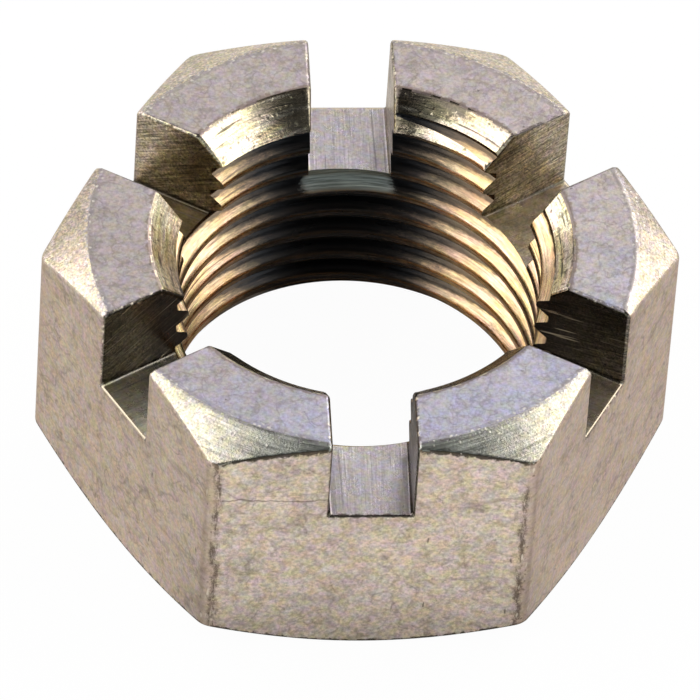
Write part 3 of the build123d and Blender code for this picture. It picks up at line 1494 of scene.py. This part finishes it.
class SawnFinish(Finish):
    """The sawn slots: walls dark with painted shade and slanting saw marks, and a paler floor with
    lengthwise ones.
    """

    lean_left = math.radians(30)
    lean_right = math.radians(-11)

    def on_wall(self, coat: Coat, side: Any) -> Socket:
        """Tells the walls from the floors by their place across the slot."""
        half = coat.shop.body.slot_width / 2
        return coat.spread(coat.absolute(coat.parts(side)[0]), half - 0.12, half - 0.04)

    def base(self, coat: Coat, blotch: Any) -> Socket:
        """Paints light and shade into the slots: walls darker on the near half, lighter outward, near-black
        by the bore; floors' tones.

        Args:
            coat: The coat to write on.
            blotch: Share of the cloud's tone.

        Returns:
            The colour's socket.
        """
        side = coat.side()
        _, out, _ = coat.parts(side)
        x, y, _ = coat.xyz()
        blotching = coat.mottle(blotch_size=1.6, speckle_size=0.14)
        # Painted shade and light on the walls: near-black on the near half, lighter on the far half,
        # lightest on the left
        shaded_wall_tone = coat.blend(blotching["Cloud"], (0.012, 0.010, 0.008), (0.066, 0.054, 0.040))
        lit_wall_tone = coat.blend(blotching["Cloud"], (0.12, 0.10, 0.068), (0.54, 0.46, 0.325))
        lit_wall_tone = coat.toned(lit_wall_tone, coat.spread(x, -1.0, 1.0, 1.75, 1.25))
        dark = coat.blend(coat.spread(y, -2.0, 6.0), shaded_wall_tone, lit_wall_tone)
        # Painted light towards the slots' mouths, and painted shade deep by the bore on the near half
        outward = coat.times(coat.spread(out, 11.0, 15.8, 0.1, 0.85), coat.spread(y, -6.0, 2.0, 0.42, 1.0))
        walls = coat.blend(outward, dark, (0.36, 0.31, 0.235))
        inward = coat.times(coat.spread(out, 14.2, 12.0, 0.0, 0.75), coat.spread(y, 2.0, -1.0))
        walls = coat.blend(inward, walls, (0.008, 0.006, 0.006))
        walls = coat.toned(walls, coat.between(blotching["Speckle"], 0.5, 1.5))
        plain = super().base(coat, blotch)
        greened = coat.times(coat.spread(y, 0.0, -4.0), coat.spread(y, -12.0, -9.0))
        floors = coat.blend(coat.spread(out, 12.0, 15.6, 0.0, 0.5), plain, (0.40, 0.34, 0.315))
        # Painted reflection on the near side slots' floors: a greenish tone, lighter on the left than on
        # the right
        green = coat.halved(x, (0.56, 0.52, 0.41), (0.36, 0.32, 0.265))
        floors = coat.blend(greened, floors, green)
        # Painted shade on the floors of the far side slots, deeper on the left
        sunken = coat.times(coat.spread(coat.absolute(x), 3.5, 5.0), coat.spread(y, 0.0, 2.0))
        far_left = coat.blend(blotching["Cloud"], (0.07, 0.056, 0.032), (0.20, 0.165, 0.11))
        far_right = coat.blend(blotching["Cloud"], (0.17, 0.14, 0.105), (0.44, 0.375, 0.29))
        far = coat.halved(x, far_left, far_right)
        floors = coat.blend(sunken, floors, far)
        return coat.blend(self.on_wall(coat, side), floors, walls)

    def wear_and_shading(self, coat: Coat) -> None:
        """Adds saw marks, each surface's own way, and lines at the floor's end and the wall's foot, painted
        shade and highlight.

        Args:
            coat: The plated coat, changed in place.
        """
        body = coat.shop.body
        side = coat.side()
        _, out, up = coat.parts(side)
        wall = self.on_wall(coat, side)
        floor = coat.minus(1.0, wall)
        lean = coat.spread(coat.xyz()[0], -1.0, 1.0, self.lean_left, self.lean_right)
        slant = coat.turned(side, lean, "X_AXIS")
        slanted = coat.streaks(slant, spacing=0.12, length=2.2)
        lengthwise = coat.streaks(side, spacing=0.12, length=3.5)
        relief = coat.times(slanted["Height"], wall)
        relief = coat.times_plus(lengthwise["Height"], floor, relief)
        coat.cut_in(relief, self.mark_height)
        combed = coat.times_plus(slanted["Height"], wall, coat.times(0.5, floor))
        coat.shade(combed, low=0.3, high=1.7)
        brushed = coat.times_plus(lengthwise["Height"], floor, coat.times(0.5, wall))
        coat.shade(brushed, low=0.8, high=1.2)
        in_front = coat.spread(coat.xyz()[1], -10.0, -11.5)
        beside = coat.spread(coat.absolute(coat.parts(side)[0]), 1.5, body.slot_width / 2)
        shadow = coat.times(coat.times(beside, floor), in_front)
        coat.stain(shadow, strength=0.6, tone=(0.14, 0.12, 0.12))
        coat.stain(coat.times(slanted["Scratch"], wall), strength=0.6, tone=(0.66, 0.60, 0.48))
        coat.stain(coat.times(slanted["Groove"], wall), strength=0.7, tone=(0.02, 0.018, 0.012))
        coat.stain(coat.times(lengthwise["Groove"], floor), strength=0.5, tone=(0.15, 0.13, 0.14))
        # Painted light: floor's outer edge and wall's foot get a dark shade line in the front slot, a pale
        # highlight in the others
        end = coat.minus(body.across_flats / 2 - 0.08, out)
        painted_end_line = coat.wear_and_shade_line(distance=end, width=0.16, grain=0.5)
        end_shading_tone = coat.blend(in_front, (0.62, 0.52, 0.38), (0.05, 0.035, 0.025))
        coat.stain(coat.times(painted_end_line, floor), strength=0.85, tone=end_shading_tone)
        wall_foot = coat.minus(up, body.height - body.slot_depth)
        painted_foot_line = coat.wear_and_shade_line(distance=wall_foot, width=0.12, grain=0.5)
        foot_shading_tone = coat.blend(in_front, (0.5, 0.45, 0.38), (0.05, 0.04, 0.035))
        coat.stain(coat.times(painted_foot_line, wall), strength=0.4, tone=foot_shading_tone)
        x, y, _ = coat.xyz()
        # Painted shade in the corner at the foot of the far-left slot's wall
        far_left = coat.times(coat.spread(x, -3.0, -4.0), coat.spread(y, 0.0, 1.5))
        corner_shade = coat.times(coat.spread(beside, 0.75, 0.95), coat.spread(wall_foot, 0.4, 0.15))
        coat.stain(coat.times(corner_shade, far_left), strength=0.9, tone=(0.04, 0.033, 0.02))
        rim = coat.minus(body.height - 0.05, up)
        coat.chip(coat.plus(rim, coat.times(floor, 9.0)), reach=0.35)


class TappedFinish(TurnedFinish):
    """The tapped thread: grey-gold turns, with painted shade in the roots and over the far side, and darker
    towards the foot.
    """

    root_from = 11.0
    root_to = 11.16

    def wear_and_shading(self, coat: Coat) -> None:
        """Adds marks along the turns, painted shade in the roots and at the far side, a painted highlight
        and a darker foot.

        Args:
            coat: The plated coat, changed in place.
        """
        body = coat.shop.body
        ring = coat.ring()
        radius, _, up = coat.parts(ring)
        _, y, _ = coat.xyz()
        turns = coat.streaks(ring, spacing=0.1, length=5.0)
        coat.cut_in(turns["Height"], self.mark_height)
        coat.shade(turns["Height"], low=0.6, high=1.3)
        coat.stain(turns["Groove"], strength=0.75, tone=(0.07, 0.05, 0.035), sink=2.0)
        blotching = coat.mottle(at=self.grain_space(coat), blotch_size=1.2, speckle_size=0.2)
        coat.shade(blotching["Speckle"], low=0.85, high=1.15)
        # Painted shade in the thread's roots, thicker towards the far side
        depth = coat.times_plus(blotching["Speckle"], 0.14, radius)
        thicker = coat.plus(depth, coat.spread(y, 5.5, 9.5, -0.03, 0.3))
        root = coat.spread(thicker, self.root_from, self.root_to, smooth=True)
        coat.stain(root, strength=0.88, tone=(0.04, 0.03, 0.022))
        # Painted shade over the far side of the thread: brown first, then near-black
        ragged = coat.times_plus(coat.minus(blotching["Cloud"], 0.5), 1.4, y)
        ragged = coat.times_plus(coat.xyz()[0], -0.06, ragged)
        brown = coat.spread(ragged, 6.0, 9.8, smooth=True)
        coat.stain(brown, strength=0.8, tone=(0.15, 0.12, 0.09))
        black = coat.spread(ragged, 7.6, 10.2, smooth=True)
        # Painted highlight: a pale teal sheen on the lip just under the far slot's floor, streaked along
        # the turns and rougher
        along, _, _ = coat.parts(coat.side())
        under_slot = coat.minus(body.height - body.slot_depth, up)
        lip = coat.times(coat.spread(under_slot, 1.25, 0.95), coat.spread(under_slot, -0.1, 0.05))
        reach = coat.times_plus(blotching["Cloud"], 0.9, coat.absolute(along))
        below = coat.spread(reach, body.slot_width / 2 + 0.9, body.slot_width / 2, smooth=True)
        rub_and_painted_sheen = coat.times(coat.times(lip, below), coat.spread(y, 8.5, 9.5))
        # Painted shade: the near-black far side, left off the lip's painted highlight
        far_thread_shade = coat.times(black, coat.minus(1.0, rub_and_painted_sheen))
        coat.stain(far_thread_shade, strength=0.94, tone=(0.012, 0.015, 0.019))
        coat.stain(rub_and_painted_sheen, strength=0.7, tone=(0.64, 0.77, 0.76))
        streaked = coat.times(rub_and_painted_sheen, coat.spread(turns["Height"], 0.8, 0.3))
        coat.stain(streaked, strength=0.75, tone=(0.12, 0.14, 0.13))
        coat.roughness = coat.between(rub_and_painted_sheen, coat.roughness, 0.6)
        # Darker towards the foot of the bore
        wandering_height = coat.times_plus(blotching["Cloud"], 1.6, up)
        low = coat.spread(wandering_height, 3.4, 2.2, smooth=True)
        coat.stain(low, strength=0.75, tone=(0.06, 0.05, 0.04))


FINISHES = (
    FlatFinish(
        Surface.FLAT,
        tone=(0.65, 0.54, 0.44),
        cloud=(0.59, 0.49, 0.40),
        roughness=0.38,
        grain_size=0.2,
        speckle_swing=0.24,
        hue_swing=0.13,
    ),
    FaceFinish(
        Surface.FACE,
        tone=(0.46, 0.40, 0.385),
        cloud=(0.42, 0.365, 0.35),
        roughness=0.36,
        grain_size=0.17,
        speckle_swing=0.15,
        hue_swing=0.1,
        mark_height=1.0,
    ),
    ChamferFinish(
        Surface.CHAMFER,
        tone=(0.77, 0.69, 0.53),
        cloud=(0.66, 0.595, 0.465),
        roughness=0.33,
        grain_size=0.13,
        grain_height=4.5,
        speckle_swing=0.24,
        cloud_swing=0.18,
        hue_swing=0.12,
        mark_height=6.0,
    ),
    CountersinkFinish(
        Surface.COUNTERSINK,
        tone=(0.90, 0.76, 0.54),
        cloud=(0.74, 0.61, 0.42),
        roughness=0.18,
        mark_height=3.0,
    ),
    SawnFinish(
        Surface.SLOT,
        tone=(0.44, 0.405, 0.425),
        cloud=(0.40, 0.365, 0.375),
        roughness=0.28,
        hue_swing=0.12,
        mark_height=4.0,
    ),
    TappedFinish(
        Surface.THREAD,
        tone=(1.0, 0.69, 0.40),
        cloud=(0.90, 0.61, 0.35),
        roughness=0.24,
        grain_height=1.0,
        mark_height=2.5,
    ),
)


@dataclass(frozen=True)
class CastleNut:
    """The whole nut as one closed piece."""

    name: str = "nut_body"
    node: str = "castle_nut"
    body: str = "root"
    slot: str = "plated_steel"
    bar: NutBody = NutBody()
    thread: Thread = Thread()

    def build(self) -> bpy.types.Object:
        """Makes the nut, dresses it and ties it to the frame.

        Returns:
            The finished piece.
        """
        shop = Workshop(self.bar)
        finishes = {finish.surface: finish.material(shop) for finish in FINISHES}
        draft = stood("draft", bpy.data.meshes.new("draft"))
        self.bar.build(draft, finishes)
        self.thread.build(draft, finishes)
        self.bar.even_shading(draft)
        depsgraph = bpy.context.evaluated_depsgraph_get()
        mesh = bpy.data.meshes.new_from_object(draft.evaluated_get(depsgraph), depsgraph=depsgraph)
        mesh.name = self.name
        bpy.data.objects.remove(draft)
        piece = stood(self.name, mesh)
        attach(piece, self.body)
        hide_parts(self.node)
        LOG.info("%s: %d faces, %s", piece.name, len(mesh.polygons), [m.name for m in mesh.materials])
        return piece


@dataclass(frozen=True)
class Softbox:
    """A rectangular lamp that looks at the nut from one side, in degrees and metres."""

    name: str
    azimuth: float
    elevation: float
    distance: float
    size: tuple[float, float]
    glow: float
    colour: Colour = (1.0, 1.0, 1.0)

    def hang(self, target: Vector) -> bpy.types.Object:
        """Hangs the lamp in the studio.

        Args:
            target: The point that it looks at.

        Returns:
            The lamp.
        """
        lamp = bpy.data.lights.new(self.name, "AREA")
        lamp.shape = "RECTANGLE"
        lamp.size, lamp.size_y = self.size
        lamp.energy = self.glow * math.pi * self.size[0] * self.size[1]
        lamp.color = self.colour
        piece = stood(self.name, lamp)
        turn, lift = math.radians(self.azimuth), math.radians(self.elevation)
        away = Vector((math.cos(turn) * math.cos(lift), math.sin(turn) * math.cos(lift), math.sin(lift)))
        piece.location = target + away * self.distance
        piece.rotation_euler = away.to_track_quat("Z", "Y").to_euler()
        piece.visible_camera = False
        return piece


@dataclass(frozen=True)
class Studio:
    """White floor, soft lamps and the photograph's camera.

    The camera's distance and aim are in widths across flats, and other lengths in metres. The
    edges are where the shades on the paper start, change and end.
    """

    floor_side: float = 8.0
    floor_tone: float = 0.93
    floor_glow: float = 0.97
    footprint_radius: float = 0.0155
    front_edges: tuple[float, float, float] = (0.0155, 0.0212, 0.027)
    side_edges: tuple[float, float] = (0.035, 0.09)
    side_shade: Colour = (0.76, 0.71, 0.67)
    horizon_brightness: float = 0.6
    zenith_brightness: float = 0.008
    overhead_brightness: float = 0.12
    front_glow: Colour = (0.50, 0.55, 0.57)
    softboxes: tuple[Softbox, ...] = (
        Softbox("softbox_right", azimuth=20.0, elevation=37.0, distance=0.6, size=(1.0, 0.58), glow=2.25),
        Softbox("softbox_left", azimuth=176.0, elevation=41.0, distance=0.6, size=(0.9, 0.68), glow=2.0),
        Softbox("softbox_back", azimuth=92.0, elevation=42.0, distance=0.7, size=(0.84, 0.75), glow=0.87),
    )
    across_flats: float = 0.03175
    azimuth: float = -5.714
    elevation: float = 47.84
    roll: float = 4.077
    distance: float = 21.016
    focal_pixels: float = 11634.5
    image_pixels: float = 700.0
    aim: tuple[float, float, float] = (-0.01004, -0.0278, 0.27)
    lamp_target: tuple[float, float, float] = (0.0, 0.0, 0.008)

    def build(self) -> None:
        """Sets up the floor, the lamps, the world and the camera."""
        self.lay_floor()
        self.light_world()
        for softbox in self.softboxes:
            softbox.hang(Vector(self.lamp_target))
        self.set_camera()
        bpy.context.scene.view_settings.view_transform = "Standard"
        LOG.info("studio: floor, %d lamps and the camera", len(self.softboxes))

    def lay_floor(self) -> None:
        """Lays the pale floor under the nut."""
        half = self.floor_side / 2
        mesh = bpy.data.meshes.new("floor")
        outline = [(-half, -half, 0.0), (half, -half, 0.0), (half, half, 0.0), (-half, half, 0.0)]
        mesh.from_pydata(outline, [], [(0, 1, 2, 3)])
        material = bpy.data.materials.new("white_paper")
        sheet = NodeSheet(emptied(material))
        paper = sheet.add("ShaderNodeBsdfDiffuse", {"Color": opaque((self.floor_tone,) * 3)})
        rays = sheet.add("ShaderNodeLightPath").outputs
        spot = sheet.add("ShaderNodeTexCoord").outputs["Object"]
        reach = sheet.add("ShaderNodeVectorMath", {0: spot}, operation="LENGTH").outputs["Value"]
        open_paper = sheet.above(reach, self.footprint_radius)
        mirrored = sheet.larger(rays["Is Glossy Ray"], rays["Is Transmission Ray"])
        seen = sheet.blend(rays["Is Camera Ray"], self.shaded_paper(sheet, spot), (1.0, 1.0, 1.0))
        white = sheet.add("ShaderNodeEmission", {"Color": seen, "Strength": 1.0})
        shown = sheet.larger(rays["Is Camera Ray"], sheet.times(mirrored, open_paper))
        share = sheet.times(shown, self.floor_glow)
        surface = sheet.add("ShaderNodeMixShader", {0: share, 1: paper.outputs[0], 2: white.outputs[0]})
        sheet.add("ShaderNodeOutputMaterial", {"Surface": surface.outputs[0]})
        mesh.materials.append(material)
        stood("floor", mesh)

    def shaded_paper(self, sheet: NodeSheet, spot: Any) -> Socket:
        """Shades the paper that the steel mirrors: less light beside the nut and close in front.

        Args:
            sheet: Writing aid on the paper's material.
            spot: Place on the paper, in metres from the nut's axis.

        Returns:
            The paper's colour, white where the light falls on it freely.
        """
        _, toward, _ = sheet.parts(spot)
        in_front = sheet.times(toward, -1.0)
        start, middle, end = self.front_edges
        near = sheet.spread(in_front, start, middle, 0.42, 0.92)
        far = sheet.spread(in_front, middle, end, 0.0, 0.08)
        front = sheet.plus(near, far)
        ahead = sheet.spread(in_front, 0.0120, 0.0158)
        reach = sheet.add("ShaderNodeVectorMath", {0: spot}, operation="LENGTH").outputs["Value"]
        beside = sheet.blend(sheet.spread(reach, *self.side_edges), self.side_shade, (1.0, 1.0, 1.0))
        return sheet.blend(ahead, beside, sheet.grey(front))

    def light_world(self) -> None:
        """Lights the room: pale all round, a little bluer in front, and dark overhead."""
        world = bpy.data.worlds.new("room")
        sheet = NodeSheet(emptied(world))
        _, toward, height = sheet.parts(sheet.add("ShaderNodeTexCoord").outputs["Generated"])
        behind = sheet.spread(toward, -0.3, 0.4, smooth=True)
        level = sheet.blend(behind, self.front_glow, (self.horizon_brightness,) * 3)
        sunk = sheet.times_plus(sheet.minus(1.0, behind), -0.23, height)
        low = sheet.spread(sunk, 0.4, 0.1, smooth=True)
        overhead = sheet.times(sheet.spread(height, 0.8, 0.93), sheet.spread(toward, 0.0, -0.25))
        above = sheet.blend(overhead, (self.zenith_brightness,) * 3, (self.overhead_brightness,) * 3)
        colour = sheet.blend(low, above, level)
        sky = sheet.add("ShaderNodeBackground", {"Color": colour, "Strength": 1.0})
        sheet.add("ShaderNodeOutputWorld", {"Surface": sky.outputs[0]})
        bpy.context.scene.world = world

    def set_camera(self) -> None:
        """Stands the camera at the photograph's viewing angle."""
        turn, lift, roll = (math.radians(angle) for angle in (self.azimuth, self.elevation, self.roll))
        back = Vector((math.sin(turn) * math.cos(lift), -math.cos(turn) * math.cos(lift), math.sin(lift)))
        level = Vector((math.cos(turn), math.sin(turn), 0.0))
        upright = back.cross(level)
        right = math.cos(roll) * level + math.sin(roll) * upright
        up = math.cos(roll) * upright - math.sin(roll) * level
        centre = Vector((0.0, 0.0, self.aim[2])) + self.aim[0] * right + self.aim[1] * up
        place = (centre + self.distance * back) * self.across_flats
        lens = bpy.data.cameras.new("camera")
        lens.lens = self.focal_pixels * lens.sensor_width / self.image_pixels
        camera = stood("camera", lens)
        turned = Matrix((right, up, back)).transposed().to_4x4()
        camera.matrix_world = Matrix.Translation(place) @ turned
        bpy.context.scene.camera = camera


def main() -> None:
    """Builds the nut and the studio."""
    logging.basicConfig(level=logging.INFO, format="%(name)s %(message)s")
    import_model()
    CastleNut().build()
    Studio().build()


if __name__ == "__main__":
    main()
